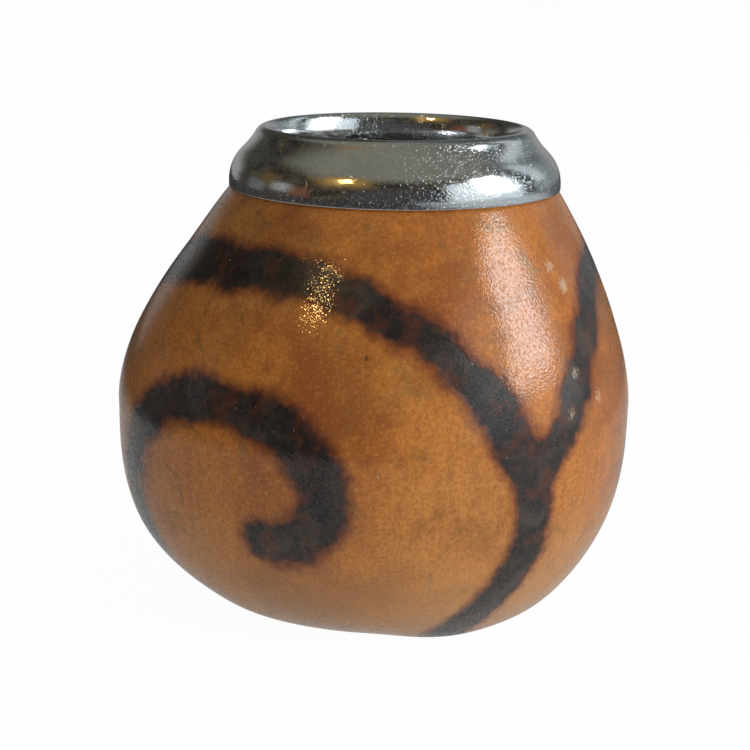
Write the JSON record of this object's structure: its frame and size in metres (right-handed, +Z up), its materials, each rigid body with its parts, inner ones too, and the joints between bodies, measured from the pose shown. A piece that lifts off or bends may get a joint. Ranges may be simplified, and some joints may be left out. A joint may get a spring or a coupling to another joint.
{
  "type": "mate gourd cup",
  "caption": "Round hollow gourd drinking cup on a flat foot, its off-centre mouth bound by a spun aluminium collar with a rolled lip; broad burned swirls under varnish.",
  "frame": {"origin": "on the table, under the middle of the belly", "axes": "+Z up, +X towards the side that the mouth and the foot lean to, -Y towards the shown front"},
  "size_m": [0.1018, 0.0998, 0.0946],
  "materials": {
    "gourd": "varnished dried gourd skin with broad burned swirls",
    "collar": "polished, with fine scratches"
  },
  "bodies": {
    "root": {"gourd": "gourd", "collar": "collar"}
  },
  "joints": []
}
